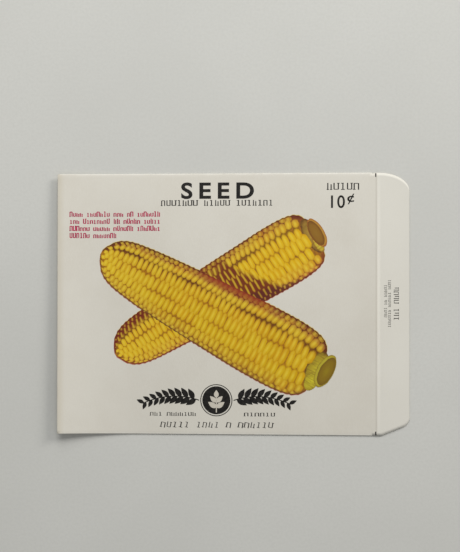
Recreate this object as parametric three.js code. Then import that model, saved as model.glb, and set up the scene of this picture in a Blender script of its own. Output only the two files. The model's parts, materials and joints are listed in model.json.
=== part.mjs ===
// An empty paper seed packet lying on its back, with its closing flap open.
//
// One printed sheet is folded into an envelope. The front panel is the middle of the sheet. The back
// panel is hinged to it along the +Y long side and glued over a seam tab along the -Y long side. An end
// tab closes the -X end and is glued to the outside of the back. The closing flap continues the front
// past a scored crease at the open +X end.
//
// Millimetres, +Z up. The origin is the centre of the bounding box's base.
import * as THREE from "three";

const { lerp, smoothstep } = THREE.MathUtils;

// Driving dimensions.
const BODY_LENGTH = 127; // closed end to crease
const BODY_WIDTH = 103.8; // across the two long folds
const FLAP_DEPTH = 13.1; // crease to the flap's free edge
const PAPER = 0.1; // thickness of one ply
const PLY_GAP = 0.05; // air between two plies that lie on each other
const EDGE_GAP = 0.05; // air where a panel meets its own fold strip
const CREASE_GAP = 0.3; // slot between the front panel and the flap, on the crease line

// The envelope's folds, tabs and mouth.
const FRONT_LEVEL = 0.35; // the front's underside above the back's underside, along the long folds
const SEAM_TAB = 13; // width of the tab inside the -Y long side
const SEAM_SETBACK = 1.2; // the back panel's glued edge stops this short of the -Y long side
const END_TAB = 14; // width of the tab over the closed end
const TAB_SLANT = 6; // how far each end of a tab slants in
const MOUTH_SETBACK = 1.6; // the back panel stops this short of the crease

// The flap's outline.
const ROUND_DEPTH = 12; // the big round +Y corner, measured along X
const ROUND_WIDTH = 7.4; // the same corner, measured along Y
const CUT_START = 2.1; // the slanting -Y cut starts this far past the crease
const CUT_SLOPE = 0.41; // its rise in Y for each millimetre of X
const CUT_ROUNDING = 2.6; // length along X of the radius where the cut ends

// How the paper lies.
const CURL_LENGTH = 34; // the closed end lifts over this length
const CURL_NEAR = 3.1; // lift of the -Y corner
const CURL_FAR = 1.7; // lift of the +Y corner
const SWELL = 1.2; // how far the empty pocket holds the front off the back
const SWELL_START = 8; // from the closed end
const SWELL_FULL = 46; // from the closed end
const MOUTH_SWELL = 0.6; // share of the swell that is left at the mouth
const RIPPLE = 0.1; // height of the slight waves in the front
const RIPPLE_LENGTH = 41;
const FLAP_LEVEL = 0.27; // the flap's underside at its free edge
const CREASE_ROLL = 1.8; // length of the steeper stretch just past the crease
const CREASE_SHARE = 0.45; // share of the flap's fall that happens there
const HINGE_LEVEL = 0.1; // the crease turns about a line at this height

const FOLD_STEPS = 8; // facets round a fold strip

// Places that follow from the dimensions.
const TIP_X = (BODY_LENGTH + FLAP_DEPTH) / 2;
const CREASE_X = TIP_X - FLAP_DEPTH;
const CLOSED_X = -TIP_X;
const TOP_PLY = FRONT_LEVEL + PAPER;
const END_RADIUS = (TOP_PLY + PLY_GAP + PAPER) / 2;
const HINGED_RADIUS = TOP_PLY / 2;
const SEAM_RADIUS = (TOP_PLY - PLY_GAP - PAPER) / 2;
const END_X = CLOSED_X + END_RADIUS;
const HINGED_Y = BODY_WIDTH / 2 - HINGED_RADIUS;
const SEAM_Y = SEAM_RADIUS - BODY_WIDTH / 2;
const MOUTH_X = CREASE_X - MOUTH_SETBACK;

// Underside of the back panel: flat, with the closed end curled up.
function backLevel(x, y) {
  const reach = Math.max(0, 1 - (x - CLOSED_X) / CURL_LENGTH);
  return lerp(CURL_NEAR, CURL_FAR, y / BODY_WIDTH + 0.5) * reach ** 2;
}

function seamTabLevel(x, y) {
  return backLevel(x, y) + PAPER + PLY_GAP;
}

function endTabLevel(x, y) {
  return backLevel(x, y) - PAPER - PLY_GAP;
}

// Underside of the front panel: it bows up between its folds, and waves a little.
function frontLevel(x, y) {
  const from = x - CLOSED_X;
  const across = 1 - (2 * y / BODY_WIDTH) ** 2;
  const rise = smoothstep(from, SWELL_START, SWELL_FULL);
  const mouth = lerp(1, MOUTH_SWELL, smoothstep(from, BODY_LENGTH * 0.6, BODY_LENGTH));
  const wave = RIPPLE * Math.sin(2 * Math.PI * from / RIPPLE_LENGTH) * across ** 2;
  return backLevel(x, y) + FRONT_LEVEL + (SWELL * across * mouth + wave) * rise;
}

// Underside of the flap, `out` past the crease: it drops from the front's edge and then lies level.
function flapLevel(out, y) {
  const near = CREASE_SHARE * smoothstep(out, 0, CREASE_ROLL);
  const far = (1 - CREASE_SHARE) * smoothstep(out, 0, FLAP_DEPTH);
  return lerp(frontLevel(CREASE_X, y), FLAP_LEVEL, near + far);
}

function flapHighEdge(out) {
  const round = Math.max(0, out - (FLAP_DEPTH - ROUND_DEPTH)) / ROUND_DEPTH;
  return BODY_WIDTH / 2 - ROUND_WIDTH * (1 - Math.sqrt(Math.max(0, 1 - round ** 2)));
}

function flapLowEdge(out) {
  const cut = Math.max(0, out - CUT_START) * CUT_SLOPE;
  const round = Math.max(0, out - (FLAP_DEPTH - CUT_ROUNDING)) / CUT_ROUNDING;
  return cut + CUT_ROUNDING * (1 - Math.sqrt(Math.max(0, 1 - round ** 2))) - BODY_WIDTH / 2;
}

// A closed solid between two grids of points. `outer` and `inner` map s and t in 0..1 to a point, and
// the outer side faces the way that turning from s to t points.
function shell(outer, inner, columns, rows) {
  const points = [];
  for (const side of [outer, inner]) {
    for (let i = 0; i <= columns; i++) {
      for (let j = 0; j <= rows; j++) {
        points.push(...side(i / columns, j / rows));
      }
    }
  }
  const out = (i, j) => i * (rows + 1) + j;
  const back = (i, j) => out(i, j) + (columns + 1) * (rows + 1);
  const faces = [];
  const quad = (a, b, c, d) => faces.push(a, b, c, a, c, d);
  for (let i = 0; i < columns; i++) {
    for (let j = 0; j < rows; j++) {
      quad(out(i, j), out(i + 1, j), out(i + 1, j + 1), out(i, j + 1));
      quad(back(i, j), back(i, j + 1), back(i + 1, j + 1), back(i + 1, j));
    }
    quad(back(i, 0), back(i + 1, 0), out(i + 1, 0), out(i, 0));
    quad(out(i, rows), out(i + 1, rows), back(i + 1, rows), back(i, rows));
  }
  for (let j = 0; j < rows; j++) {
    quad(out(0, j), out(0, j + 1), back(0, j + 1), back(0, j));
    quad(back(columns, j), back(columns, j + 1), out(columns, j + 1), out(columns, j));
  }
  const geometry = new THREE.BufferGeometry();
  geometry.setAttribute("position", new THREE.Float32BufferAttribute(points, 3));
  geometry.setIndex(faces);
  geometry.computeVertexNormals();
  return geometry;
}

// One ply of paper: `plan` maps s and t to x and y, and `level` gives the height of its underside.
function ply(plan, level, columns, rows) {
  const raised = (thickness) => (s, t) => {
    const [x, y] = plan(s, t);
    return [x, y, level(x, y) + thickness];
  };
  return shell(raised(PAPER), raised(0), columns, rows);
}

// The half-round strip of a fold. `edge` walks along the fold with `outward` on its right-hand side,
// and the strip wraps from the upper ply round to the lower one.
function foldStrip(edge, outward, lowLevel, columns) {
  const wrapped = (inset) => (s, t) => {
    const [x, y] = edge(s);
    const low = lowLevel(x, y);
    const high = frontLevel(x, y) + PAPER;
    const radius = (high - low) / 2 - inset;
    const angle = Math.PI * (0.5 - t);
    const reach = radius * Math.cos(angle);
    const z = (high + low) / 2 + radius * Math.sin(angle);
    return [x + outward[0] * reach, y + outward[1] * reach, z];
  };
  return shell(wrapped(0), wrapped(PAPER), columns, FOLD_STEPS);
}

function frontPanel() {
  const plan = (s, t) => [
    lerp(END_X + EDGE_GAP, CREASE_X - CREASE_GAP / 2, s),
    lerp(SEAM_Y + EDGE_GAP, HINGED_Y - EDGE_GAP, t),
  ];
  return ply(plan, frontLevel, 36, 14);
}

function backPanel() {
  const plan = (s, t) => [
    lerp(END_X + EDGE_GAP, MOUTH_X, s),
    lerp(SEAM_SETBACK - BODY_WIDTH / 2, HINGED_Y - EDGE_GAP, t),
  ];
  return ply(plan, backLevel, 32, 4);
}

function seamTab() {
  const plan = (s, t) => [
    lerp(END_X + EDGE_GAP + t * TAB_SLANT, MOUTH_X - t * TAB_SLANT, s),
    SEAM_Y + EDGE_GAP + t * SEAM_TAB,
  ];
  return ply(plan, seamTabLevel, 32, 3);
}

function endTab() {
  const plan = (s, t) => [
    END_X + EDGE_GAP + s * END_TAB,
    lerp(SEAM_Y + 1 + s * TAB_SLANT, HINGED_Y - 1 - s * TAB_SLANT, t),
  ];
  return ply(plan, endTabLevel, 8, 8);
}

function hingedFold() {
  const edge = (s) => [lerp(END_X + EDGE_GAP, MOUTH_X, s), HINGED_Y];
  return foldStrip(edge, [0, 1], backLevel, 32);
}

function seamFold() {
  const edge = (s) => [lerp(MOUTH_X, END_X + EDGE_GAP, s), SEAM_Y];
  return foldStrip(edge, [0, -1], seamTabLevel, 32);
}

function endFold() {
  const edge = (s) => [END_X, lerp(SEAM_Y, HINGED_Y, s)];
  return foldStrip(edge, [-1, 0], endTabLevel, 12);
}

// The flap in the crease's own frame: x runs out from the crease, and z from the hinge line.
function closingFlap() {
  const plan = (s, t) => {
    const out = lerp(CREASE_GAP / 2, FLAP_DEPTH, Math.sin(s * Math.PI / 2));
    return [out, lerp(flapLowEdge(out), flapHighEdge(out), t)];
  };
  const level = (out, y) => flapLevel(out, y) - HINGE_LEVEL;
  return ply(plan, level, 18, 14);
}

function paperPiece(name, geometry, colour, roughness) {
  const material = new THREE.MeshStandardMaterial({ color: colour, roughness, metalness: 0 });
  const mesh = new THREE.Mesh(geometry, material);
  mesh.name = name;
  return mesh;
}

const PRINTED_SIDE = 0xd9d3c6;
const PLAIN_SIDE = 0xcfc8ba;
const FOLDED_EDGE = 0xe2ddd2;

const envelope = new THREE.Group();
envelope.add(
  paperPiece("front_panel", frontPanel(), PRINTED_SIDE, 0.7),
  paperPiece("back_panel", backPanel(), PLAIN_SIDE, 0.85),
  paperPiece("seam_tab", seamTab(), PLAIN_SIDE, 0.85),
  paperPiece("end_tab", endTab(), PRINTED_SIDE, 0.8),
  paperPiece("hinged_side_fold", hingedFold(), FOLDED_EDGE, 0.8),
  paperPiece("seam_side_fold", seamFold(), FOLDED_EDGE, 0.8),
  paperPiece("closed_end_fold", endFold(), FOLDED_EDGE, 0.8),
);

const crease = new THREE.Group();
crease.position.set(CREASE_X, 0, HINGE_LEVEL);
crease.add(paperPiece("closing_flap", closingFlap(), PRINTED_SIDE, 0.75));

const seedPacket = new THREE.Group();
seedPacket.add(envelope, crease);

export default seedPacket;
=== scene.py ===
import json
import math

import bpy
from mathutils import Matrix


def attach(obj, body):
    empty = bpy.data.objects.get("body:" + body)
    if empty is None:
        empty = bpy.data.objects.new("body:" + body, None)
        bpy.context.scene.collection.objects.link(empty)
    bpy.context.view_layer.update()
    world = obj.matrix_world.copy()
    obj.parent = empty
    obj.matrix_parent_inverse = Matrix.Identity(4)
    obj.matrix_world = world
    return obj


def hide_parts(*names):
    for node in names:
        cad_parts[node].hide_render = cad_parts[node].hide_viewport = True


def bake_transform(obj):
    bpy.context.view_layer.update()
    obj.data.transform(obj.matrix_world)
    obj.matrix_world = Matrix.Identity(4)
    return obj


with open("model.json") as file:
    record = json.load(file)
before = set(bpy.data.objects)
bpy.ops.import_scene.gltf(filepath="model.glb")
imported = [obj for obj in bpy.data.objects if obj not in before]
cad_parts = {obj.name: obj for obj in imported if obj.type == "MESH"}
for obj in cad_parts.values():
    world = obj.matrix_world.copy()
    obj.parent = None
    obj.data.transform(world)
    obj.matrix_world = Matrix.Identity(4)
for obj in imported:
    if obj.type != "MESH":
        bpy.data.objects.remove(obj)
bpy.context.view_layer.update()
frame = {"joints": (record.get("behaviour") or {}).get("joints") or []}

# ----------------------------------------
# The set. The packet lies on a board painted a pale cool grey, under a wide window of light that
# comes in low from the upper right and a soft sky that fills the shadows.
MM = 0.001
VIEW_CENTRE = (-0.92 * MM, 11.15 * MM)
VIEW_HEIGHT = 219.88 * MM
CAMERA_HEIGHT = 0.55
CAMERA_LEAN = math.radians(4.2)  # the open end is a touch nearer than the closed one

camera_data = bpy.data.cameras.new("camera")
camera_data.sensor_fit = "VERTICAL"
camera_data.lens = camera_data.sensor_height * CAMERA_HEIGHT / VIEW_HEIGHT
camera_data.clip_start = 0.01
camera = bpy.data.objects.new("camera", camera_data)
camera.location = (
    VIEW_CENTRE[0] + CAMERA_HEIGHT * math.sin(CAMERA_LEAN),
    VIEW_CENTRE[1],
    CAMERA_HEIGHT * math.cos(CAMERA_LEAN),
)
camera.rotation_euler = (0, CAMERA_LEAN, 0)
bpy.context.collection.objects.link(camera)
bpy.context.scene.camera = camera
bpy.context.scene.view_settings.view_transform = "Standard"


def linear(red, green, blue):
    """A swatch read as 0 to 255 display values, as the light it stands for."""
    swatch = (value / 255 for value in (red, green, blue))
    light = (v / 12.92 if v <= 0.04045 else ((v + 0.055) / 1.055) ** 2.4 for v in swatch)
    return (*light, 1)


def light_panel(name, place, width, watts, tint):
    """A round panel of light, turned toward the packet."""
    data = bpy.data.lights.new(name, "AREA")
    data.shape, data.size, data.energy, data.color = "DISK", width, watts, tint
    lamp = bpy.data.objects.new(name, data)
    lamp.location = place
    x, y, z = place
    lamp.rotation_euler = (math.atan2(math.hypot(x, y), z), 0, math.atan2(x, -y))
    bpy.context.collection.objects.link(lamp)


light_panel("window", (1.22, 0.84, 0.68), 0.6, 13.3, (1.0, 0.985, 0.96))
light_panel("ceiling", (-0.05, 0.62, 0.5), 0.6, 3.6, (0.98, 0.99, 1.0))

world = bpy.data.worlds.new("soft_sky")
world.use_nodes = True
sky = world.node_tree.nodes["Background"].inputs
sky["Color"].default_value, sky["Strength"].default_value = (0.95, 0.965, 0.985, 1), 0.32
bpy.context.scene.world = world


def sum_rule(operation):
    """What a sign in a sum of fields does: it adds a math node of this kind."""
    return lambda first, second: first.tree.math(operation, first, second)


class Field:
    """A value in a node tree, so that the rule of a surface or a finish can be written as a sum."""

    def __init__(self, tree, socket):
        self.tree, self.socket = tree, socket

    __add__ = __radd__ = sum_rule("ADD")
    __mul__ = __rmul__ = sum_rule("MULTIPLY")
    __sub__, __truediv__, __pow__ = sum_rule("SUBTRACT"), sum_rule("DIVIDE"), sum_rule("POWER")

    def __rsub__(self, other):
        return self.tree.math("SUBTRACT", other, self)

    def ramp(self, start, end, low=0.0, high=1.0, kind="SMOOTHSTEP"):
        """low before start, high past end, and a smooth or straight change between them."""
        node = self.tree.put("ShaderNodeMapRange", interpolation_type=kind, clamp=True)
        for socket, value in zip(node.inputs, (self, start, end, low, high)):
            self.tree.feed(socket, value)
        return Field(self.tree, node.outputs[0])

    def stripe(self, start, full, fade, gone):
        """1 from full to fade, falling smoothly to 0 at start and at gone."""
        return self.ramp(start, full) * self.ramp(fade, gone, 1.0, 0.0)


class Tree:
    """Adds nodes to a geometry or material tree, and links them in the order they are given."""

    def __init__(self, group):
        self.group = group

    def feed(self, socket, value):
        if isinstance(value, bpy.types.Node):
            value = next(out for out in value.outputs if out.enabled)
        if isinstance(value, Field):
            value = value.socket
        if isinstance(value, bpy.types.NodeSocket):
            self.group.links.new(value, socket)
        else:
            socket.default_value = value

    def put(self, kind, *values, named=None, **settings):
        node = self.group.nodes.new(kind)
        for setting, value in settings.items():
            setattr(node, setting, value)
        for socket, value in zip([s for s in node.inputs if s.enabled], values):
            self.feed(socket, value)
        for name, value in (named or {}).items():
            self.feed(node.inputs[name], value)
        return node

    def math(self, operation, *values):
        return Field(self, self.put("ShaderNodeMath", *values, operation=operation).outputs[0])

    def split(self, vector):
        return [Field(self, s) for s in self.put("ShaderNodeSeparateXYZ", vector).outputs]

    def vector(self, x=0.0, y=0.0, z=0.0):
        return Field(self, self.put("ShaderNodeCombineXYZ", x, y, z).outputs[0])

    def noise(self, place, scale, detail=2.0, roughness=0.5):
        node = self.put("ShaderNodeTexNoise", place, named={
            "Scale": scale, "Detail": detail, "Roughness": roughness,
        })
        return Field(self, node.outputs[0])


class Finish(Tree):
    """A procedural material: a Principled surface whose colour, roughness and bump are built up."""

    def __init__(self, name):
        self.material = bpy.data.materials.new(name)
        self.material.use_nodes = True
        super().__init__(self.material.node_tree)
        self.surface = self.group.nodes["Principled BSDF"]
        self.place = self.put("ShaderNodeTexCoord").outputs["Object"]

    def stretched(self, *scale, turn=0.0, centre=(0, 0, 0)):
        """Object coordinates measured from centre, turned about Z and scaled."""
        moved = self.put("ShaderNodeVectorMath", self.place, centre, operation="SUBTRACT")
        node = self.put("ShaderNodeMapping", moved)
        node.inputs["Rotation"].default_value = (0, 0, turn)
        node.inputs["Scale"].default_value = scale or (1, 1, 1)
        return node.outputs[0]

    def grain(self, fineness, detail, roughness):
        return self.noise(self.stretched(fineness, fineness, fineness), 1.0, detail, roughness)

    def mark(self, name):
        """A number that the piece's mesh carries."""
        return Field(self, self.put("ShaderNodeAttribute", attribute_name=name).outputs["Fac"])

    def mix(self, share, first, second):
        """Between two colours. Each is a pattern, or a swatch read as 0 to 255 display values."""
        node = self.put("ShaderNodeMix", data_type="RGBA")
        sockets = [s for s in node.inputs if s.enabled]
        for socket, value in zip(sockets, (share, first, second)):
            self.feed(socket, linear(*value) if isinstance(value, (tuple, list)) else value)
        return next(s for s in node.outputs if s.enabled)

    def paint(self, colour, rough, height, depth, strength=0.3, shine=0.5):
        """Gives the surface its colour, roughness and shine, and a bump of one height and depth."""
        bump = self.put("ShaderNodeBump", named={
            "Strength": strength, "Distance": depth, "Height": height,
        })
        inputs = self.surface.inputs
        self.feed(inputs["Base Color"], colour)
        self.feed(inputs["Roughness"], rough)
        self.feed(inputs["Specular IOR Level"], shine)
        self.feed(inputs["Normal"], bump)


board = Finish("painted_board")
board_cloud = board.noise(board.place, 9.0, 3.0, 0.55)
board_grain = board.noise(board.place, 900.0, 2.0, 0.6)
board_tone = board.mix(board_cloud.ramp(0.3, 0.7), (208, 207, 200), (214, 213, 206))
board_tone = board.mix(board_grain.ramp(0.3, 0.75, 0.0, 0.35), board_tone, (201, 200, 193))
board.paint(board_tone, board_grain.ramp(0.2, 0.8, 0.72, 0.85), board_grain, 0.04 * MM, 0.4)

BOARD_REACH, BOARD_DROP = 1.5, 0.02 * MM  # half its side, and its gap below the packet
board_mesh = bpy.data.meshes.new("board")
board_corners = [
    (x * BOARD_REACH, y * BOARD_REACH, -BOARD_DROP) for x, y in ((-1, -1), (1, -1), (1, 1), (-1, 1))
]
board_mesh.from_pydata(board_corners, [], [(0, 1, 2, 3)])
board_mesh.materials.append(board.material)
floor = bpy.data.objects.new("board", board_mesh)
bpy.context.collection.objects.link(floor)

# ----------------------------------------
# The printed sheet. One piece of coated paper makes the front, rolls round three sides as the
# folds, and runs past a scored crease as the closing flap. It is cut by a die, printed on its
# outer side, and folded; years flat in a box have yellowed it and rubbed its folds pale.
BODY_LENGTH, BODY_WIDTH, FLAP_DEPTH = 127 * MM, 103.8 * MM, 13.1 * MM
PAPER, PLY_GAP = 0.1 * MM, 0.05 * MM
FRONT_LEVEL = 0.35 * MM  # the front's underside above the back's, along the long folds
CURL_LENGTH, CURL_NEAR, CURL_FAR = 34 * MM, 3.1 * MM, 1.7 * MM
SWELL, SWELL_START, SWELL_FULL, MOUTH_SWELL = 1.2 * MM, 8 * MM, 46 * MM, 0.6
RIPPLE, RIPPLE_LENGTH = 0.1 * MM, 41 * MM
COCKLE, COCKLE_SCALE = 0.16 * MM, 34.0  # the slight unevenness of old paper
FLAP_LEVEL, CREASE_ROLL, CREASE_SHARE = 0.27 * MM, 1.8 * MM, 0.45
ROUND_DEPTH, ROUND_WIDTH = 12 * MM, 7.4 * MM
CUT_START, CUT_SLOPE, CUT_ROUNDING = 2.1 * MM, 0.41, 2.6 * MM
CREASE_BEAD = 0.04 * MM  # the ridge that the scoring rule raises
CREASE_X = frame["joints"][0]["pos_m"][0]
TIP_X = CREASE_X + FLAP_DEPTH
CLOSED_X = CREASE_X - BODY_LENGTH
TOP_PLY = FRONT_LEVEL + PAPER
END_RADIUS = (TOP_PLY + PLY_GAP + PAPER) / 2
HINGED_RADIUS = TOP_PLY / 2
SEAM_RADIUS = (TOP_PLY - PLY_GAP - PAPER) / 2
END_X = CLOSED_X + END_RADIUS
HINGED_Y = BODY_WIDTH / 2 - HINGED_RADIUS
SEAM_Y = SEAM_RADIUS - BODY_WIDTH / 2
MOUTH_X = CREASE_X - 1.6 * MM
FOLD_STEPS = 8
BODY_STEPS, CREASE_STEPS, FLAP_STEPS, CROSS_STEPS = 125, 24, 26, 84
CREASE_ZONE = 4.8 * MM


class Shape(Tree):
    """A geometry tree: named sizes come in, and a mesh in one material goes out."""

    def __init__(self, name):
        super().__init__(bpy.data.node_groups.new(name, "GeometryNodeTree"))
        self.group.interface.new_socket("Mesh", in_out="OUTPUT", socket_type="NodeSocketGeometry")
        self.group.interface.new_socket("Start", in_out="INPUT", socket_type="NodeSocketGeometry")
        self.inlet = self.group.nodes.new("NodeGroupInput")
        self.outlet = self.group.nodes.new("NodeGroupOutput")

    def size(self, name, value=0.0, kind="Float"):
        socket = self.group.interface.new_socket(
            name, in_out="INPUT", socket_type="NodeSocket" + kind
        )
        if kind in ("Float", "Int"):
            socket.default_value = value
        return Field(self, self.inlet.outputs[name])

    def index_grid(self, columns, rows):
        """A grid whose vertices sit at whole numbers, with those numbers as fields."""
        width = self.math("SUBTRACT", columns, 1)
        depth = self.math("SUBTRACT", rows, 1)
        grid = self.put("GeometryNodeMeshGrid", width, depth, columns, rows)
        x, y, _ = self.position()
        grid = self.keep(self.keep(grid, "column", x + width / 2), "row", y + depth / 2)
        return grid, self.kept("column"), self.kept("row")

    def keep(self, geometry, name, value):
        """Stores a number on each point of the mesh under a name."""
        node = self.put("GeometryNodeStoreNamedAttribute", data_type="FLOAT", domain="POINT")
        self.feed(node.inputs["Geometry"], geometry)
        self.feed(node.inputs["Name"], name)
        self.feed(next(s for s in node.inputs if s.enabled and s.name == "Value"), value)
        return node

    def kept(self, name):
        node = self.put("GeometryNodeInputNamedAttribute", name, data_type="FLOAT")
        return Field(self, node.outputs[0])

    def position(self):
        return self.split(self.put("GeometryNodeInputPosition"))

    def moved(self, geometry, position):
        return self.put("GeometryNodeSetPosition", geometry, named={"Position": position})

    def joined(self, *parts):
        whole = self.put("GeometryNodeJoinGeometry")
        for part in parts:
            self.group.links.new(part.outputs[0], whole.inputs[0])
        return whole

    def chance(self, seed, low=0.0, high=1.0):
        """A different number on every spot."""
        node = self.put("FunctionNodeRandomValue", low, high, data_type="FLOAT")
        self.feed(node.inputs["Seed"], seed)
        return Field(self, next(s for s in node.outputs if s.enabled))

    def stand(self, spots, mesh, heading, size, choice=None):
        """Stands a copy of a mesh, or of one chosen mesh, on every spot."""
        turned = self.put("FunctionNodeEulerToRotation", self.vector(z=heading))
        inputs = {"Instance": mesh, "Rotation": turned, "Scale": self.vector(*size, 1.0)}
        if choice is not None:
            inputs |= {"Pick Instance": True, "Instance Index": choice}
        copies = self.put("GeometryNodeInstanceOnPoints", spots, named=inputs)
        return self.put("GeometryNodeRealizeInstances", copies)

    def without(self, geometry, chosen, domain="FACE"):
        return self.put("GeometryNodeDeleteGeometry", geometry, chosen, domain=domain)

    def finish(self, geometry, material):
        whole = self.put("GeometryNodeRealizeInstances", geometry)
        dressed = self.put("GeometryNodeSetMaterial", whole, named={"Material": material})
        self.feed(self.outlet.inputs[0], dressed)


def make_piece(name, shape, sizes=None, start=None):
    """Runs a shape's tree once with these sizes and keeps the plain mesh that comes out."""
    piece = bpy.data.objects.new(name, start or bpy.data.meshes.new(name + "_start"))
    bpy.context.collection.objects.link(piece)
    build = piece.modifiers.new("build", "NODES")
    build.node_group = shape.group
    sockets = {
        item.name: item.identifier
        for item in shape.group.interface.items_tree
        if item.item_type == "SOCKET" and item.in_out == "INPUT"
    }
    for label, value in (sizes or {}).items():
        build[sockets[label]] = value
    drawn = bpy.context.evaluated_depsgraph_get()
    made = bpy.data.meshes.new_from_object(
        piece.evaluated_get(drawn), preserve_all_data_layers=True, depsgraph=drawn
    )
    piece.modifiers.clear()
    piece.data = made
    made.name = name
    return piece


def give_thickness(piece):
    """Smooths a sheet's faces and gives it the thickness of paper, downward."""
    piece.data.shade_smooth()
    paper = piece.modifiers.new("paper thickness", "SOLIDIFY")
    paper.thickness, paper.offset = PAPER, -1


def back_level(x, y):
    """Underside of the back: flat, with the closed end curled up, most at the near corner."""
    reach = x.tree.math("MAXIMUM", 1 - (x - CLOSED_X) / CURL_LENGTH, 0.0)
    corner = y * ((CURL_FAR - CURL_NEAR) / BODY_WIDTH) + (CURL_FAR + CURL_NEAR) / 2
    return corner * reach * reach


def front_level(x, y):
    """Underside of the front: it bows up between its folds, and waves a little."""
    along = x - CLOSED_X
    across = 1 - (y * (2 / BODY_WIDTH)) ** 2
    mouth = along.ramp(BODY_LENGTH * 0.6, BODY_LENGTH, 1.0, MOUTH_SWELL)
    wave = x.tree.math("SINE", along * (2 * math.pi / RIPPLE_LENGTH)) * RIPPLE * across * across
    bow = (across * mouth * SWELL + wave) * along.ramp(SWELL_START, SWELL_FULL)
    return back_level(x, y) + FRONT_LEVEL + bow


def quarter_round(out, start, length):
    """How far a rounded corner has fallen away, from 0 at its start to 1 at its end."""
    share = out.tree.math("MINIMUM", out.tree.math("MAXIMUM", (out - start) / length, 0.0), 1.0)
    return 1 - out.tree.math("SQRT", 1 - share * share)


form = Shape("printed sheet")
columns = FOLD_STEPS + BODY_STEPS + CREASE_STEPS + FLAP_STEPS + 1
rows = CROSS_STEPS + 2 * FOLD_STEPS + 1
grid, column, row = form.index_grid(columns, rows)
end_turn = (column / FOLD_STEPS).ramp(0, 1, 1, 0, "LINEAR")
seam_turn = (row / FOLD_STEPS).ramp(0, 1, 1, 0, "LINEAR")
hinged_turn = (row - (rows - 1 - FOLD_STEPS)).ramp(0, FOLD_STEPS, 0, 1, "LINEAR")
side_turn = seam_turn + hinged_turn
past_mouth = form.math("GREATER_THAN", column, FOLD_STEPS + BODY_STEPS)
notched = form.math("GREATER_THAN", side_turn * (end_turn + past_mouth), 0.0)
sheet = form.without(grid, notched)

body_x = (column - FOLD_STEPS).ramp(0, BODY_STEPS, END_X, MOUTH_X, "LINEAR")
crease_x = (column - FOLD_STEPS - BODY_STEPS).ramp(0, CREASE_STEPS, 0, CREASE_ZONE, "LINEAR")
on_flap = column - FOLD_STEPS - BODY_STEPS - CREASE_STEPS
flap_turn = on_flap.ramp(0, FLAP_STEPS, 0, math.pi / 2, "LINEAR")
x = body_x + crease_x + form.math("SINE", flap_turn) * (TIP_X - MOUTH_X - CREASE_ZONE)
out = form.math("MAXIMUM", x - CREASE_X, 0.0)
cut = form.math("MAXIMUM", out - CUT_START, 0.0) * CUT_SLOPE
low_edge = x.ramp(MOUTH_X, CREASE_X, SEAM_Y, -BODY_WIDTH / 2) + cut
low_edge = low_edge + quarter_round(out, FLAP_DEPTH - CUT_ROUNDING, CUT_ROUNDING) * CUT_ROUNDING
high_edge = x.ramp(MOUTH_X, CREASE_X, HINGED_Y, BODY_WIDTH / 2)
high_edge = high_edge - quarter_round(out, FLAP_DEPTH - ROUND_DEPTH, ROUND_DEPTH) * ROUND_WIDTH
share = (row - FOLD_STEPS).ramp(0, CROSS_STEPS, 0, 1, "LINEAR")
y = low_edge + (high_edge - low_edge) * share

fall = out.ramp(0, CREASE_ROLL) * CREASE_SHARE + out.ramp(0, FLAP_DEPTH) * (1 - CREASE_SHARE)
front = front_level(form.math("MINIMUM", x, CREASE_X), y)
cockle = form.noise(form.vector(x * COCKLE_SCALE, y * COCKLE_SCALE), 1.0, 1.0) - 0.5
middle = 1 - (y * (2 / BODY_WIDTH)) ** 2
front = front + cockle * middle * COCKLE * (x - CLOSED_X).ramp(SWELL_START, SWELL_FULL)
bead = out.stripe(0, 0.3 * MM, 0.5 * MM, 1.9 * MM) * CREASE_BEAD
top = front + (FLAP_LEVEL - front) * fall + bead + PAPER
PLY_STEP = PAPER + PLY_GAP
low_ply = back_level(x, y) + seam_turn.ramp(0, 0.01, 0, PLY_STEP)
low_ply = low_ply - end_turn.ramp(0, 0.01, 0, PLY_STEP)
radius = (top - low_ply) / 2
turn = (end_turn + side_turn) * math.pi
z = top - radius * (1 - form.math("COSINE", turn))
roll = radius * form.math("SINE", turn)
end_way = form.math("SIGN", end_turn)
side_way = form.math("SIGN", hinged_turn) - form.math("SIGN", seam_turn)
sheet = form.moved(sheet, form.vector(x - roll * end_way, y + roll * side_way, z))

coated = Finish("printed_paper")


def paper_colour(finish, fresh, aged, worn):
    """Cloudy yellowing, fibres, and pale rubbed folds, over one shade of paper."""
    x, y, _ = finish.split(finish.place)
    cloud = finish.noise(finish.place, 26.0, 4.0, 0.62)
    fibre = finish.noise(finish.stretched(2600, 700, 2600, turn=0.5), 1.0, 3.0, 0.7)
    speck = finish.noise(finish.place, 1500.0, 1.0, 0.5)
    colour = finish.mix(cloud.ramp(0.32, 0.72), fresh, aged)
    colour = finish.mix(fibre.ramp(0.35, 0.75, 0.0, 0.22), colour, worn)
    colour = finish.mix(speck.ramp(0.66, 0.8, 0.0, 0.35), colour, aged)
    side = finish.math("ABSOLUTE", y).ramp(BODY_WIDTH / 2 - 0.9 * MM, BODY_WIDTH / 2)
    end = x.ramp(CLOSED_X, CLOSED_X + 1.1 * MM, 1.0, 0.0)
    rub = finish.grain(160, 4.0, 0.7).ramp(0.3, 0.62)
    edge = finish.math("MINIMUM", side + end, 1.0) * rub
    return finish.mix(edge * 0.75, colour, worn), fibre, cloud


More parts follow.
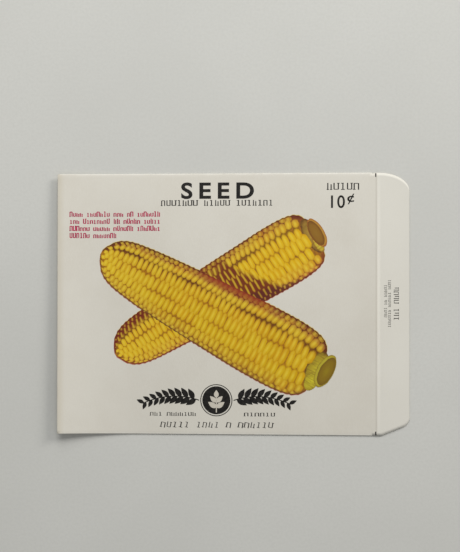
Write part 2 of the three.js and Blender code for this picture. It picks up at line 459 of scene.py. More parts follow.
paper_tone, paper_fibre, paper_cloud = paper_colour(
    coated, (223, 218, 205), (217, 211, 197), (233, 229, 218)
)
sheet_x = coated.split(coated.place)[0]
past_crease, from_end = (sheet_x - CREASE_X) / MM, (sheet_x - CLOSED_X) / MM
for share, shade in (
    (past_crease.stripe(-0.35, 0.0, 0.1, 0.45) * 0.22, (160, 150, 132)),  # painted shade on the crease's side turned from the light
    (past_crease.stripe(0.3, 0.7, 0.9, 1.6) * 0.25, (228, 223, 212)),  # a painted highlight on the ridge's slope that faces the light
    (past_crease.ramp(0.2, 1.0) * 0.5, (231, 228, 217)),  # the flap painted paler, for the light that its tilt catches
    (from_end.ramp(0.6, 3.4, 0.45, 0.0), (205, 195, 172)),  # the tanned closed end
):
    paper_tone = coated.mix(share, paper_tone, shade)
paper_bump = paper_fibre * 0.4 + paper_cloud
coated.paint(paper_tone, paper_fibre.ramp(0.2, 0.8, 0.5, 0.66), paper_bump, 0.05 * MM, 0.35)
form.finish(sheet, coated.material)

printed_sheet = make_piece("printed_sheet", form)
give_thickness(printed_sheet)
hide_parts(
    "front_panel", "closing_flap", "hinged_side_fold", "seam_side_fold", "closed_end_fold",
)
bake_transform(printed_sheet)

# ----------------------------------------
# The plain plies. The back panel is the same sheet turned under at the far side and glued over a
# narrow seam tab at the near one, and an end tab is folded up outside it and glued down.
form = Shape("glued ply")
closed_edge, open_edge = form.size("Closed edge"), form.size("Open edge")
near_edge, far_edge = form.size("Near edge"), form.size("Far edge")
end_slant, side_slant = form.size("End slant"), form.size("Side slant")
height = form.size("Level")
ply_columns, ply_rows = form.size("Columns", 100, "Int"), form.size("Rows", 24, "Int")
grid, column, row = form.index_grid(ply_columns, ply_rows)
length_share, width_share = column / (ply_columns - 1), row / (ply_rows - 1)
start_x, end_x = closed_edge + end_slant * width_share, open_edge - end_slant * width_share
x = start_x + (end_x - start_x) * length_share
start_y, end_y = near_edge + side_slant * length_share, far_edge - side_slant * length_share
y = start_y + (end_y - start_y) * width_share
ply_sheet = form.moved(grid, form.vector(x, y, back_level(x, y) + height + PAPER))
bare = Finish("plain_paper")
plain_tone, plain_fibre, plain_cloud = paper_colour(
    bare, (219, 213, 199), (209, 202, 186), (229, 224, 212)
)
plain_rough = plain_fibre.ramp(0.2, 0.8, 0.7, 0.85)
bare.paint(plain_tone, plain_rough, plain_fibre + plain_cloud, 0.06 * MM, 0.5)
form.finish(ply_sheet, bare.material)

TAB = 6 * MM  # how far a tab's corners are cut back
PLIES = {
    "back_panel": (END_X + PLY_GAP, MOUTH_X, 1.2 * MM - BODY_WIDTH / 2, HINGED_Y, {}),
    "seam_tab": (
        END_X + PLY_GAP, MOUTH_X, SEAM_Y, SEAM_Y + 13 * MM,
        {"End slant": TAB, "Level": PLY_STEP, "Rows": 8},
    ),
    "end_tab": (
        END_X, END_X + 14 * MM, SEAM_Y + 1 * MM, HINGED_Y - 1 * MM,
        {"Side slant": TAB, "Level": -PLY_STEP, "Columns": 16},
    ),
}
for name, (closed, opened, near, far, special) in PLIES.items():
    ply = make_piece("plain_" + name, form, special | {
        "Closed edge": closed, "Open edge": opened, "Near edge": near, "Far edge": far,
    })
    give_thickness(ply)
    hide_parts(name)
    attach(ply, "packet")

# ----------------------------------------
# The ears of corn. Each is printed in inks that were laid slightly out of line, so that a thin
# yellow edge and a thin red one show round it: a ground of browns and oranges first, then rows of
# golden kernels, then the cut stub. The ink films are far thinner than the paper.
EARS = {
    "back_ear": {
        "centre": (-6.1 * MM, 4.0 * MM), "turn": math.radians(30.9), "tip": -47.0, "butt": 45.2,
        "tip_rise": 0.0, "lift": 0.021, "edge_lift": 0.006, "per_row": 42, "seed": 3,
        "profile": (
            (0, 0.7), (1.3, 3.2), (3, 5.6), (7.5, 8.2), (12, 9.2), (24, 10.2), (40, 11.2),
            (63, 12.1), (78, 12.5), (84, 12.15), (88, 11.3), (90.6, 9.7), (91.7, 8.0), (92.2, 6.0),
        ),
    },
    "front_ear": {
        "centre": (-5.95 * MM, -5.2 * MM), "turn": math.radians(-28.4), "tip": -52.9, "butt": 46.0,
        "tip_rise": 0.7, "lift": 0.048, "edge_lift": 0.001, "per_row": 43, "seed": 8,
        "profile": (
            (0, 0.8), (1.6, 3.9), (5.5, 7.9), (9.5, 9.5), (13.5, 10.3), (29, 12.0), (53, 13.4),
            (73, 14.35), (86, 14.1), (91.5, 13.2), (95, 11.6), (97.2, 9.0), (98.1, 6.2),
        ),
    },
}
KERNEL_ROWS, KERNEL_ROW_ANGLE = 7, math.radians(24.5)  # the rows that show on the near half
GROUND_STEPS, GROUND_ROWS = 120, 24
INK = 0.004 * MM
ABOVE, DROP = 50 * MM, 100 * MM  # where the search for the paper starts, and how far it goes


def profile(shape, along, points):
    """Half the width of an ear in millimetres at a distance from its tip in millimetres."""
    longest, widest = points[-1][0], 15.0
    node = shape.put("ShaderNodeFloatCurve", 1.0, along / longest)
    curve = node.mapping.curves[0]
    for _ in points[2:]:
        curve.points.new(0.5, 0.5)
    for spot, (reach, width) in zip(curve.points, points):
        spot.location = (reach / longest, width / widest)
    node.mapping.update()
    return Field(shape, node.outputs[0]) * widest


def film(shape, flat):
    """Gives a flat mesh the thickness of ink, as a closed film with its face up."""
    raised = shape.put("GeometryNodeExtrudeMesh", flat, mode="FACES", named={
        "Offset": (0, 0, 1), "Offset Scale": INK, "Individual": False,
    })
    both = shape.joined(raised, shape.put("GeometryNodeFlipFaces", flat))
    return shape.put("GeometryNodeMergeByDistance", both, named={"Distance": INK / 10})


def onto_sheet(shape, drawn):
    """Turns a drawing into its place on the sheet, and lets it down onto the paper."""
    placed = shape.put("GeometryNodeTransform", drawn, named={
        "Translation": shape.size("Centre", kind="Vector"),
        "Rotation": shape.size("Turn", kind="Rotation"),
    })
    x, y, z = shape.position()
    sheet = shape.put("GeometryNodeObjectInfo", transform_space="RELATIVE")
    sheet.inputs["Object"].default_value = printed_sheet
    down = shape.put("GeometryNodeRaycast", named={
        "Target Geometry": sheet.outputs["Geometry"], "Source Position": shape.vector(x, y, ABOVE),
        "Ray Direction": (0, 0, -1), "Ray Length": DROP,
    })
    paper_z = shape.split(down.outputs["Hit Position"])[2]
    return shape.moved(placed, shape.vector(x, y, paper_z + z + shape.size("Lift")))


def flat_map(piece):
    """Lays the piece's bake map flat, as it is printed."""
    mesh = piece.data
    low = [min(v.co[axis] for v in mesh.vertices) for axis in (0, 1)]
    side = max(max(v.co[axis] for v in mesh.vertices) - low[axis] for axis in (0, 1)) * 1.02
    layer = mesh.uv_layers.get("OFBake") or mesh.uv_layers.new(name="OFBake")
    for corner, loop in zip(layer.data, mesh.loops):
        spot = mesh.vertices[loop.vertex_index].co
        corner.uv = [(spot[axis] - low[axis]) / side + 0.01 for axis in (0, 1)]


def off_axis(share, rise):
    """How far the stretch before the tip bends up from the ear's axis, in millimetres."""
    return (1 - share) ** 5 * rise


def ear_ground(points):
    """The flat silhouette of an ear, with the shares along and across it kept as numbers."""
    shape = Shape("ear ground")
    tip, butt = shape.size("Tip"), shape.size("Butt")
    spread, rise = shape.size("Spread"), shape.size("Tip rise")
    grid, column, row = shape.index_grid(GROUND_STEPS + 1, GROUND_ROWS + 1)
    along = column.ramp(0, GROUND_STEPS, 0, 1, "LINEAR")
    across = row.ramp(0, GROUND_ROWS, -1, 1, "LINEAR")
    u = tip - spread + (butt - tip + spread * 2) * along
    half = profile(shape, (butt - tip) * along, points) + spread
    scallop = shape.math("SINE", u * 2.85 + across * 1.3) * 0.16
    grid = shape.keep(shape.keep(grid, "across", across), "along", along)
    drawn = shape.vector(u * MM, ((half + scallop) * across + off_axis(along, rise)) * MM)
    return shape, onto_sheet(shape, film(shape, shape.moved(grid, drawn)))


def lay_ink(ink, tone, mottle, smoothest=0.46):
    """Every ink dries to the same soft sheen, broken by the paper under it."""
    rough = mottle.ramp(0.2, 0.8, smoothest, smoothest + 0.14)
    ink.paint(tone, rough, mottle, 0.01 * MM, shine=0.22)
    return ink


def plain_ink(name, colour, paler):
    ink = Finish(name)
    mottle = ink.grain(900, 3.0, 0.6)
    return lay_ink(ink, ink.mix(mottle.ramp(0.35, 0.75), colour, paler), mottle)


def bands(finish, value, steps):
    """Runs a value through colours that change smoothly at each step."""
    colour = steps[0][1:]
    for (start, *_), (end, *shade) in zip(steps, steps[1:]):
        colour = finish.mix(value.ramp(start, end), colour, shade)
    return colour


def front_ear_shadow(finish):
    """How deep a spot on the back ear lies in the shade that the front ear throws on it."""
    front = EARS["front_ear"]
    # A Mapping node turns points back by the ear's turn, so that Y is the distance from its axis.
    place = finish.stretched(turn=-front["turn"], centre=(*front["centre"], 0))
    along, across, _ = finish.split(place)
    ragged = (finish.grain(300, 2.0, 0.6) - 0.5) * 3.0 * MM
    reach = along.ramp(-8 * MM, 30 * MM, 20.5 * MM, 24 * MM)
    upper = (across + ragged).ramp(reach - 1.6 * MM, reach + 1.2 * MM, 1.0, 0.0)
    return upper * across.ramp(0.0, 1.0 * MM) * along.ramp(-16 * MM, -6 * MM)


def back_ear_shades(finish, colour, across, amount):
    """Shade from the front ear, a red corner beside it, and a dark band under the free end."""
    along = finish.mark("along")
    colour = finish.mix(front_ear_shadow(finish) * amount, colour, (122, 54, 26))
    corner = along.ramp(0.3, 0.45, 1.0, 0.0) * across.ramp(0.5, 0.75)
    corner = corner + along.stripe(0.4, 0.45, 0.5, 0.6) * across.ramp(0.35, 0.8)
    colour = finish.mix(corner * amount * 0.95, colour, (118, 40, 26))
    band_top = along.ramp(0.6, 0.95, -0.5, -0.98)
    band = (across - band_top).ramp(-0.1, 0.06, 1.0, 0.0) * along.ramp(0.5, 0.6)
    return finish.mix(band * amount * 0.9, colour, (98, 42, 34))


def front_ear_glow(finish, colour, across, _):
    """The red light that the back ear throws up onto the edge of the front one."""
    glow = finish.mark("along").stripe(0.36, 0.48, 0.66, 0.8) * across.ramp(0.72, 0.95)
    return finish.mix(glow * 0.8, colour, (158, 62, 34))


NEIGHBOUR_LIGHT = {"back_ear": back_ear_shades, "front_ear": front_ear_glow}

# Each ink changes colour across its ear, from the near edge at -1 to the far edge at 1.
GROUND_BANDS = {
    "front_ear": (
        (-1.0, 112, 78, 40), (-0.93, 150, 100, 34), (-0.75, 176, 120, 24), (-0.3, 186, 130, 24),
        (0.2, 182, 120, 22), (0.42, 146, 82, 20), (0.6, 104, 60, 24), (0.72, 118, 66, 28),
        (0.9, 108, 52, 26), (1.0, 94, 38, 24),
    ),
    "back_ear": (
        (-1.0, 128, 52, 34), (-0.9, 156, 84, 34), (-0.6, 176, 118, 32), (0.1, 180, 128, 32),
        (0.55, 170, 112, 34), (0.8, 142, 78, 36), (1.0, 108, 44, 30),
    ),
}
KERNEL_BANDS = {
    "front_ear": (
        (-1.0, 158, 108, 40), (-0.88, 194, 144, 30), (-0.5, 212, 168, 12), (0.3, 208, 160, 12),
        (0.5, 206, 156, 14), (0.7, 204, 160, 34), (0.84, 176, 118, 46), (1.0, 122, 64, 36),
    ),
    "back_ear": (
        (-1.0, 190, 104, 56), (-0.8, 214, 160, 36), (-0.4, 224, 176, 14), (0.45, 222, 172, 14),
        (0.75, 206, 156, 40), (1.0, 158, 92, 44),
    ),
}
RIM_BANDS = (
    (-1.0, 120, 74, 34), (-0.8, 164, 108, 24), (-0.4, 184, 130, 22), (0.2, 180, 122, 20),
    (0.42, 138, 76, 20), (0.55, 104, 58, 22), (0.64, 118, 68, 26), (0.8, 134, 70, 30),
    (1.0, 94, 38, 25),
)
yellow_edge = plain_ink("yellow_ink_edge", (214, 186, 92), (220, 200, 130))
red_edge = plain_ink("red_ink_edge", (176, 96, 74), (190, 122, 98))


def ground_ink(name):
    """Browns and oranges, darkest toward the far edge, with a coarse mottle."""
    ink = Finish(name + "_ground_ink")
    across = ink.mark("across")
    mottle, drift = ink.grain(1100, 3.0, 0.65), ink.grain(260, 2.0, 0.5)
    tone = bands(ink, across + (drift - 0.5) * 0.12, GROUND_BANDS[name])
    tone = ink.mix(mottle.ramp(0.35, 0.7, 0.0, 0.45), tone, (96, 48, 22))
    return lay_ink(ink, NEIGHBOUR_LIGHT[name](ink, tone, across, 0.9), mottle)


def kernel_ink(name):
    """Gold, shading to orange at the rim of each kernel, with a paler patch at its crown."""
    ink = Finish(name + "_kernel_ink")
    across, along, core = ink.mark("across"), ink.mark("along"), ink.mark("core")
    mottle, drift = ink.grain(1500, 2.0, 0.6), ink.grain(120, 2.0, 0.5)
    gold = bands(ink, across + (drift - 0.5) * 0.1, KERNEL_BANDS[name])
    gold = ink.mix(ink.mark("tone").ramp(0.0, 1.0, 0.0, 0.3), gold, (234, 200, 40))
    tip_glow = along.ramp(0.1, 0.4, 0.3, 0.0) * across.ramp(0.5, 0.8, 1.0, 0.0)
    gold = ink.mix(tip_glow, gold, (232, 196, 52))
    gold = ink.mix(drift.ramp(0.45, 0.75, 0.0, 0.35), gold, (216, 146, 14))
    crown = core.ramp(0.1, 0.62, 1.0, 0.0) * across.ramp(0.75, 0.95, 1.0, 0.35)
    gold = ink.mix(crown * 0.5, gold, (238, 208, 54))
    side = ink.math("ABSOLUTE", ink.mark("side") + 0.15)
    stroke = side.ramp(0.1, 0.5, 1.0, 0.0) * core.ramp(0.6, 0.95, 1.0, 0.0)
    gold = ink.mix(stroke * 0.25, gold, (240, 214, 84))
    rim = ink.mix(along.ramp(0.55, 0.95, 0.0, 0.4), bands(ink, across, RIM_BANDS), gold)
    gold = ink.mix((core + (mottle - 0.5) * 0.2).ramp(0.74, 1.0), gold, rim)
    seam = across.stripe(0.36, 0.5, 0.58, 0.7) * core.ramp(0.5, 0.95)
    gold = ink.mix(seam * 0.6, gold, (112, 62, 22))
    gold = NEIGHBOUR_LIGHT[name](ink, gold, across, 1.0 - stroke * 0.66)
    return lay_ink(ink, gold, mottle, 0.44)


def kernel_dome(shape):
    """A low dome with ten sides, one unit across its half, that keeps its rings as a number."""
    dome = shape.put("GeometryNodeMeshCone", named={
        "Vertices": 10, "Side Segments": 2, "Fill Segments": 1,
        "Radius Top": 0.0, "Radius Bottom": 1.0, "Depth": 0.01,
    })
    x, y, _ = shape.position()
    radial = shape.math("SQRT", x * x + y * y)
    fourfold = shape.math("ABSOLUTE", x) ** 3.6 + shape.math("ABSOLUTE", y) ** 3.6
    squared = shape.math("MAXIMUM", fourfold, 1e-9) ** (-1 / 3.6)
    fuller = shape.math("MINIMUM", radial * squared, 1.3)
    dome = shape.keep(shape.keep(dome.outputs["Mesh"], "core", radial), "side", x)
    height = (1 - radial * radial) * 2.5 * INK
    return shape.moved(dome, shape.vector(x * fuller, y * fuller, height))


def ear_kernels(points):
    """Rows of kernels down an ear, close at the tip, wide and out of order at the butt."""
    shape = Shape("ear kernels")
    tip, butt, rise = shape.size("Tip"), shape.size("Butt"), shape.size("Tip rise")
    per_row = shape.size("Kernels in a row", 46, "Int")
    seed = shape.size("Seed", 1, "Int")
    stub_x, stub_y, _ = shape.split(shape.size("Stub place", kind="Vector"))
    stub_long, stub_short = shape.size("Stub half length"), shape.size("Stub half width")
    dome = kernel_dome(shape)

    grid, column, row = shape.index_grid(per_row, KERNEL_ROWS)
    share = (column + 0.3 + shape.math("MODULO", row, 2.0) * 0.5) / per_row
    long_way = butt - tip
    u = tip + long_way * (share * 0.885 + share ** 2 * 0.072 + share ** 12 * 0.031 + 0.006)
    pitch = long_way / per_row * (0.885 + share * 0.144 + share ** 11 * 0.372)
    loose = 1 + share ** 10 * 2.5  # the rows lose their order at the butt
    half = profile(shape, u - tip, points)
    angle = (row - (KERNEL_ROWS - 1) / 2) * KERNEL_ROW_ANGLE - 0.04
    lower = shape.math("SINE", angle - KERNEL_ROW_ANGLE / 2)
    upper = shape.math("SINE", angle + KERNEL_ROW_ANGLE / 2)
    middle = (lower + upper) / 2
    wander = shape.math("SINE", u * 0.21 + row * 2.1) * 0.04
    wander = wander + shape.math("SINE", u * 0.083 + row * 0.7) * 0.035
    middle = middle + wander * (1 - middle ** 2)
    v = half * middle + off_axis(share, rise) + shape.chance(seed + 1, -0.16, 0.16) * loose
    u = u + shape.chance(seed + 2, -0.14, 0.14) * loose
    tall = half * (upper - lower) / 2 * shape.chance(seed + 3, 1.18, 1.34)
    wide = pitch / 2 * shape.chance(seed + 4, 1.0, 1.14)
    lean = middle.ramp(0.45, 0.95) * -0.42 - middle.ramp(-1.0, -0.75, 0.25, 0.0)
    lean = lean + shape.chance(seed + 5, -0.1, 0.1)

    spots = shape.moved(grid, shape.vector(u * MM, v * MM))
    for name, value in (("along", share), ("tone", shape.chance(seed + 6))):
        spots = shape.keep(spots, name, value)
    past_butt = shape.math("GREATER_THAN", u, butt - 0.9 - middle * middle * 2.6)
    from_stub = ((u - stub_x) / stub_short) ** 2 + ((v - stub_y) / stub_long) ** 2
    dropped = past_butt + shape.math("LESS_THAN", from_stub, 1.0)
    spots = shape.without(spots, shape.math("GREATER_THAN", dropped, 0.5), "POINT")
    kernels = shape.stand(spots, dome, lean, (wide * MM, tall * MM))

    # The outermost kernels are trimmed to the ear's outline.
    x, y, z = shape.position()
    out_from_tip = shape.math("MAXIMUM", x / MM - tip, 0.0)
    bend = off_axis(out_from_tip / long_way, rise)
    edge = profile(shape, out_from_tip, points)
    from_axis = shape.math("MINIMUM", shape.math("MAXIMUM", y / MM - bend, edge * -1), edge)
    kernels = shape.keep(kernels, "across", from_axis / edge)
    trimmed = shape.vector((tip + out_from_tip) * MM, (bend + from_axis) * MM, z)
    return shape, onto_sheet(shape, shape.moved(kernels, trimmed))


def stub_oval():
    """One ragged oval of the cut stub."""
    shape = Shape("cut stub")
    place = shape.size("Place", kind="Vector")
    long_half, short_half = shape.size("Half length"), shape.size("Half width")
    disc = shape.put("GeometryNodeMeshCircle", 40, 1.0, fill_type="TRIANGLE_FAN")
    x, y, _ = shape.position()
    radial = shape.math("SQRT", x * x + y * y)
    disc = shape.keep(shape.put("GeometryNodeSubdivideMesh", disc, 2), "core", radial)
    middle_x, middle_y, _ = shape.split(place)
    uneven = shape.noise(shape.vector(x, y, middle_x * 90.0), 2.2, 2.0) - 0.5
    ragged = 1 + uneven * 0.16 * radial
    drawn = shape.vector(
        middle_x + x * ragged * short_half * MM, middle_y + y * ragged * long_half * MM
    )
    return shape, onto_sheet(shape, film(shape, shape.moved(disc, drawn)))


def stub_ink(ear, part, shades):
    """Rings of fibre round a pithy middle, with the husk's ribs running along the neck."""
    ink = Finish(ear + "_" + part + "_ink")
    mottle = ink.grain(700, 3.0, 0.6)
    tone = bands(ink, ink.mark("core") + (mottle - 0.5) * 0.25, shades)
    if part in ("collar", "husk"):
        along, across, _ = ink.split(ink.stretched(turn=-EARS[ear]["turn"]))
        ribs = ink.noise(ink.vector(along * 260.0, across * 1500.0), 1.0, 2.0, 0.5)
        tone = ink.mix(ribs.ramp(0.42, 0.66, 0.0, 0.5), tone, (128, 98, 36))
    return lay_ink(ink, tone, mottle)


# Each oval has its place, half its length, half its width, its lift, and its shades outward.
STUBS = {
    "back_ear": {
        "collar": (
            (44.4, 0.4), 7.6, 3.1, 0.005,
            ((0.0, 188, 154, 64), (0.7, 160, 124, 50), (1.0, 104, 62, 32)),
        ),
        "husk": (
            (44.9, -3.4), 4.0, 1.7, 0.022,
            ((0.0, 216, 200, 74), (0.75, 204, 176, 56), (1.0, 160, 106, 40)),
        ),
        "rim": (
            (46.6, 0.4), 6.3, 2.8, 0.027,
            ((0.0, 150, 128, 50), (0.86, 186, 138, 56), (1.0, 168, 96, 44)),
        ),
        "cut_face": (
            (46.2, 0.5), 5.5, 2.3, 0.032,
            ((0.0, 150, 110, 40), (0.6, 146, 104, 36), (1.0, 124, 80, 32)),
        ),
    },
    "front_ear": {
        "collar": (
            (44.3, 0.7), 7.6, 3.9, 0.005,
            ((0.0, 200, 182, 48), (0.76, 172, 148, 40), (1.0, 100, 64, 26)),
        ),
        "husk": (
            (44.9, -4.4), 4.0, 2.6, 0.022,
            ((0.0, 210, 196, 48), (0.8, 194, 176, 46), (1.0, 172, 150, 42)),
        ),
        "rim": (
            (47.8, 1.7), 7.0, 3.4, 0.027,
            ((0.0, 172, 158, 44), (0.84, 186, 170, 50), (1.0, 156, 132, 40)),
        ),
        "cut_face": (
            (48.3, 1.8), 6.1, 2.7, 0.032,
            ((0.0, 150, 126, 28), (0.6, 140, 112, 27), (1.0, 124, 96, 28)),
        ),
    },
}


def print_piece(name, drawing, ink, sizes, body="packet", start=None):
    """Makes one film of ink, maps it flat and lets it ride with the paper it is printed on."""
    shape, drawn = drawing
    shape.finish(drawn, ink.material)
    piece = make_piece(name, shape, sizes, start)
    flat_map(piece)
    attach(piece, body)


for name, ear in EARS.items():
    lift, (x, y) = ear["lift"], ear["centre"]
    turn = {"Turn": (0.0, 0.0, ear["turn"])}
    ends = turn | {"Tip": ear["tip"], "Butt": ear["butt"], "Tip rise": ear["tip_rise"]}
    for layer, ink, (aside, up), spread, rise in (
        ("yellow_plate", yellow_edge, (0.08, 0.14), 0.32, ear["edge_lift"]),
        ("red_plate", red_edge, (-0.05, -0.22), 0.3, ear["edge_lift"] + 0.010),
        ("ground", ground_ink(name), (0.0, 0.0), 0.25, lift),
    ):
        print_piece(name + "_" + layer, ear_ground(ear["profile"]), ink, ends | {
            "Spread": spread, "Lift": rise * MM, "Centre": (x + aside * MM, y + up * MM, 0.0),
        })
    neck, neck_long, neck_short, _, _ = STUBS[name]["collar"]
    print_piece(name + "_kernels", ear_kernels(ear["profile"]), kernel_ink(name), ends | {
        "Kernels in a row": ear["per_row"], "Seed": ear["seed"], "Centre": (x, y, 0.0),
        "Lift": (lift + 0.010) * MM, "Stub place": (*neck, 0.0),
        "Stub half length": neck_long, "Stub half width": neck_short,
    })
    for part, (place, long_half, short_half, rise, shades) in STUBS[name].items():
        print_piece(name + "_" + part, stub_oval(), stub_ink(name, part, shades), turn | {
            "Place": (place[0] * MM, place[1] * MM, 0.0), "Centre": (x, y, 0.0),
            "Half length": long_half, "Half width": short_half, "Lift": (lift + rise) * MM,
        })

# ----------------------------------------
# The ornament under the ears, in one dark ink: a round medallion with a leafy sprig left in the
# colour of the paper, between two sprays of leaves.
ORNAMENT = (-6.3 * MM, -38.3 * MM)
DARK_LIFT = 0.006 * MM
dark_ink = plain_ink("dark_ink", (26, 24, 22), (44, 41, 38))
paper_ink = plain_ink("unprinted_paper", (214, 207, 192), (206, 198, 182))


def leaf(shape):
    """A pointed leaf one unit long, lying along X from its stalk, as a film."""
    grid, column, row = shape.index_grid(9, 5)
    along = column / 8
    swell = shape.math("SINE", (along ** 0.8) * math.pi) * 0.23 + 0.012
    return film(shape, shape.moved(grid, shape.vector(along, (row / 2 - 1) * swell)))


def leaf_spray():
    """A bowed stem that runs out from the medallion, with leaves on both sides."""
    shape = Shape("leaf spray")
    way, reach = shape.size("Way"), shape.size("Reach")
    bow, drop, start = shape.size("Bow"), shape.size("Drop"), shape.size("Stem starts")
    pairs = shape.size("Pairs of leaves", 11, "Int")
    longest, shortest = shape.size("Longest leaf"), shape.size("Shortest leaf")

    def on_stem(share):
        height = (1 - (share * 2 - 1) ** 2) * bow - share * drop
        return start + share * reach, height, (2 - share * 4) * 2 * bow - drop

    grid, column, row = shape.index_grid(pairs, 2)
    share = (column + row * 0.3 + 0.5) / pairs
    out, height, rise = on_stem(share)
    heading = shape.math("ARCTAN2", rise, reach) + (row * 2 - 1) * 0.8
    sideways = shape.math("COSINE", heading) * way
    aim = shape.math("ARCTAN2", shape.math("SINE", heading), sideways)
    leaf_length = share.ramp(0.15, 1.0, longest, shortest) * MM
    grid = shape.keep(shape.keep(grid, "leaf_length", leaf_length), "heading", aim)
    spots = shape.moved(grid, shape.vector(out * way * MM, height * MM))
    size = (shape.kept("leaf_length"), shape.kept("leaf_length"))
    leaves = shape.stand(spots, leaf(shape), shape.kept("heading"), size)

    grid, column, row = shape.index_grid(31, 2)
    out, height, _ = on_stem(column / 30)
    stem = shape.moved(grid, shape.vector(out * way * MM, (height + (row - 0.5) * 0.42) * MM))
    stem = shape.put("GeometryNodeFlipFaces", stem, shape.math("LESS_THAN", way, 0.0))
    return shape, onto_sheet(shape, shape.joined(film(shape, stem), leaves))


def ring():
    """A flat disc or ring of ink."""
    shape = Shape("disc")
    inner, outer = shape.size("Inner radius"), shape.size("Outer radius")
    grid, column, row = shape.index_grid(65, 7)
    angle = column * (-2 * math.pi / 64)
    distance = (inner + (outer - inner) * row / 6) * MM
    drawn = shape.vector(
        shape.math("COSINE", angle) * distance, shape.math("SINE", angle) * distance
    )
    closed = shape.put(
        "GeometryNodeMergeByDistance", shape.moved(grid, drawn), named={"Distance": INK / 4}
    )
    return shape, onto_sheet(shape, film(shape, closed))


def sprig():
    """Two pairs of leaves and a top leaf on an upright stem."""
    shape = Shape("sprig")
    tall = shape.size("Height")
    parts = []
    for angle, length, width, foot in (
        (0.6, 0.56, 1.1, -0.36), (math.pi - 0.6, 0.56, 1.1, -0.36),
        (0.78, 0.5, 1.1, -0.06), (math.pi - 0.78, 0.5, 1.1, -0.06), (math.pi / 2, 0.44, 1.3, 0.2),
    ):
        size = tall * (length * MM)
        parts.append(shape.put("GeometryNodeTransform", leaf(shape), named={
            "Rotation": (0, 0, angle), "Scale": shape.vector(size, size * width, 1.0),
            "Translation": shape.vector(0.0, tall * (foot * MM)),
        }))
    stem_size = shape.vector(tall * (0.06 * MM), tall * (0.86 * MM), INK)
    stem = shape.put("GeometryNodeMeshCube", stem_size)
    parts.append(shape.put("GeometryNodeTransform", stem.outputs["Mesh"], named={
        "Translation": shape.vector(0.0, tall * (-0.21 * MM), INK / 2),
    }))
    return shape, onto_sheet(shape, shape.joined(*parts))


for name, way in (("left", -1.0), ("right", 1.0)):
    print_piece(name + "_leaf_spray", leaf_spray(), dark_ink, {
        "Way": way, "Stem starts": 6.9, "Reach": 22.6, "Bow": 2.2, "Drop": 1.4,
        "Pairs of leaves": 9, "Longest leaf": 4.6, "Shortest leaf": 3.2,
        "Centre": (*ORNAMENT, 0.0), "Lift": DARK_LIFT,
    })
for name, inner, outer in (("medallion_ring", 6.05, 6.4), ("medallion_disc", 0.0, 5.6)):
    print_piece(name, ring(), dark_ink, {
        "Inner radius": inner, "Outer radius": outer,
        "Centre": (*ORNAMENT, 0.0), "Lift": DARK_LIFT,
    })
print_piece("medallion_seedling", sprig(), paper_ink, {
    "Height": 7.0, "Centre": (ORNAMENT[0], ORNAMENT[1] - 0.4 * MM, 0.0), "Lift": 2 * DARK_LIFT,
})

# ----------------------------------------
# The lettering. The title and the price are set large in dark ink. Every smaller line is set in
# marks that stand for type and spell nothing: uprights, arches and troughs, one to a letter.
crimson_ink = plain_ink("crimson_ink", (164, 36, 76), (208, 76, 104))


def large_type(name, words, box, weight, spacing):
    """Sets generic words in an even sans letter, sized to fill a box on the sheet."""
    letters = bpy.data.curves.new(name + "_letters", "FONT")
    letters.body, letters.offset, letters.space_character = words, weight, spacing
    letters.extrude, letters.resolution_u = 0.5, 6
    setting = bpy.data.objects.new(name + "_setting", letters)
    bpy.context.collection.objects.link(setting)
    drawn = bpy.context.evaluated_depsgraph_get()
    cut_letters = bpy.data.meshes.new_from_object(setting.evaluated_get(drawn))
    bpy.data.objects.remove(setting)
    spots = [vertex.co for vertex in cut_letters.vertices]
    for axis, (low, high) in enumerate(box):
        first, last = min(spot[axis] for spot in spots), max(spot[axis] for spot in spots)
        for spot in spots:
            spot[axis] = (low + (spot[axis] - first) / (last - first) * (high - low)) * MM
    for spot in spots:
        spot.z = (spot.z + 0.5) * INK
    shape = Shape(name)
    merged = shape.put("GeometryNodeMergeByDistance", shape.inlet.outputs["Start"], named={
        "Distance": INK / 10,
    })
    drawing = (shape, onto_sheet(shape, merged))
    print_piece(name, drawing, dark_ink, {"Lift": 0.008 * MM}, start=cut_letters)


large_type("title", "SEED", ((-20.4, 8.7), (41.8, 48.45)), 0.026, 1.42)
large_type("price_figure", "10", ((39.2, 44.7), (38.0, 43.1)), 0.012, 1.1)
large_type("price_cent_sign", "\u00a2", ((45.6, 48.4), (39.5, 43.7)), 0.014, 1.0)


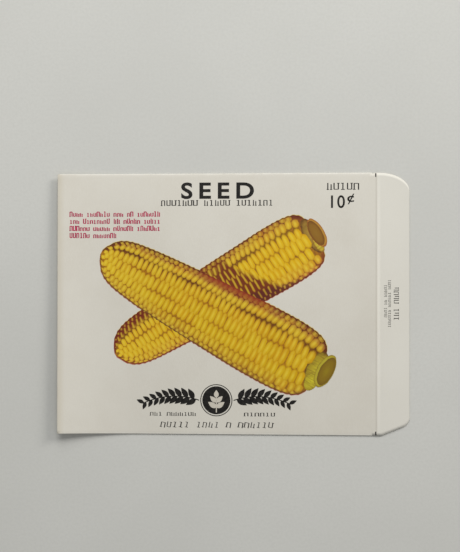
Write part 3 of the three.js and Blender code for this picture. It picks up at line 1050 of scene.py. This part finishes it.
def type_marks():
    """Stands one mark on each spot of the start mesh, chosen at random."""
    shape = Shape("type marks")
    high, wide, stroke = shape.size("Height"), shape.size("Width"), shape.size("Stroke", 0.2)
    taller, lean = shape.size("Tall share"), shape.size("Lean")
    seed = shape.size("Seed", 1, "Int")

    def bar(width, height, x, y):
        made = shape.put("GeometryNodeMeshCube", shape.vector(width, height, INK))
        return shape.put("GeometryNodeTransform", made.outputs["Mesh"], named={
            "Translation": shape.vector(x, y, INK / 2),
        })

    thin = stroke * 0.55
    marks = (
        ((stroke, 1.0, 0.0, 0.5), (0.6, thin, 0.0, 0.05), (0.42, thin, -0.08, 0.95)),
        (
            (stroke, 0.94, -0.32, 0.47), (stroke, 0.94, 0.32, 0.47),
            (0.62, thin, 0.0, 0.92), (0.4, thin, -0.32, 0.05),
        ),
        (
            (stroke, 0.94, -0.32, 0.53), (stroke, 0.94, 0.32, 0.53),
            (0.62, thin, 0.0, 0.08), (0.4, thin, 0.32, 0.95),
        ),
        (
            (stroke, 1.0, -0.26, 0.5), (stroke, 0.8, 0.26, 0.4),
            (0.36, thin, -0.26, 0.05), (0.36, thin, 0.26, 0.05),
        ),
    )
    choices = shape.joined(*[
        shape.put("GeometryNodeGeometryToInstance", shape.joined(*[bar(*sizes) for sizes in bars]))
        for bars in marks
    ])
    picked = shape.math("FLOOR", shape.chance(seed + 1) * (len(marks) - 0.01))
    is_tall = shape.math("LESS_THAN", shape.chance(seed + 2), taller)
    tall = high * (1 + is_tall * 0.42)
    broad = wide * (0.82 + shape.chance(seed + 3) * 0.22)
    spots = shape.inlet.outputs["Start"]
    standing = shape.stand(spots, choices, lean, (broad * MM, tall * MM), picked)
    return shape, onto_sheet(shape, standing)


# Each line is drawn as dots and spaces, a dot for a letter. With it come its lower left corner,
# its length, the height of its letters, the width of a stroke, and whatever else is special.
TYPE = {
    "subtitle": (("....... ..... .......",), (-27.6, 39.1), 43.0, 2.25, 0.21, {}),
    "description": (
        (
            ".... ....... ... .. .......", "... ........ .. ..... .....",
            "...... ..... ...... .......", "...... .......",
        ),
        (-64.6, 34.9), 35.2, 1.42, 0.34, {"step": 2.85, "tall": 0.34, "ink": "crimson_ink"},
    ),
    "price_word": ((".....",), (38.6, 45.25), 10.6, 2.75, 0.18, {}),
    "left_place_line": (("... .......",), (-32.2, -44.6), 17.0, 1.45, 0.2, {}),
    "right_place_line": (("......",), (5.6, -44.6), 10.6, 1.45, 0.2, {}),
    "motto": (("..... .... . ......",), (-27.9, -49.2), 43.0, 2.2, 0.17, {"lean": -0.2}),
    "flap_number_line": (
        ("... ....",), (65.9, -5.6), 11.6, 2.0, 0.17, {"turn": math.pi / 2, "body": "flap"},
    ),
    "flap_small_lines": (
        ("    .... .. .....", "....... ...... ...."), (61.2, -8.7), 18.0, 1.1, 0.17,
        {"step": 1.55, "turn": math.pi / 2, "body": "flap"},
    ),
}
FIRST_SEED = 5
for seed, (name, line) in enumerate(TYPE.items(), FIRST_SEED):
    lines, corner, run, high, stroke, special = line
    pitch = run / (max(len(text) for text in lines) - 1)
    step, slot = special.get("step", 0), special.get("ink", "dark_ink")
    spot_mesh = bpy.data.meshes.new(name + "_spots")
    spot_mesh.from_pydata([
        (place * pitch * MM, -row * step * MM, 0.0)
        for row, text in enumerate(lines) for place, letter in enumerate(text) if letter == "."
    ], [], [])
    ink = crimson_ink if slot == "crimson_ink" else dark_ink
    print_piece(name, type_marks(), ink, {
        "Height": high, "Width": pitch, "Tall share": special.get("tall", 0.0),
        "Lean": special.get("lean", 0.0), "Seed": seed, "Stroke": stroke,
        "Centre": (corner[0] * MM, corner[1] * MM, 0.0),
        "Turn": (0.0, 0.0, special.get("turn", 0.0)), "Lift": DARK_LIFT,
    }, body=special.get("body", "packet"), start=spot_mesh)

# The two ticks show the folder where the crease goes. They bend with the sheet.
for name, low, high in (("far_fold_tick", 50.3, 51.75), ("near_fold_tick", -51.75, -50.3)):
    shape = Shape("fold tick")
    grid, column, row = shape.index_grid(5, 7)
    tick_x = CREASE_X + (column / 4 * 0.45 - 0.35) * MM
    flat = shape.moved(grid, shape.vector(tick_x, (row / 6 * (high - low) + low) * MM))
    shape.finish(onto_sheet(shape, film(shape, flat)), dark_ink.material)
    tick = make_piece(name, shape, {"Lift": 0.01 * MM})
    flat_map(tick)
    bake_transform(tick)
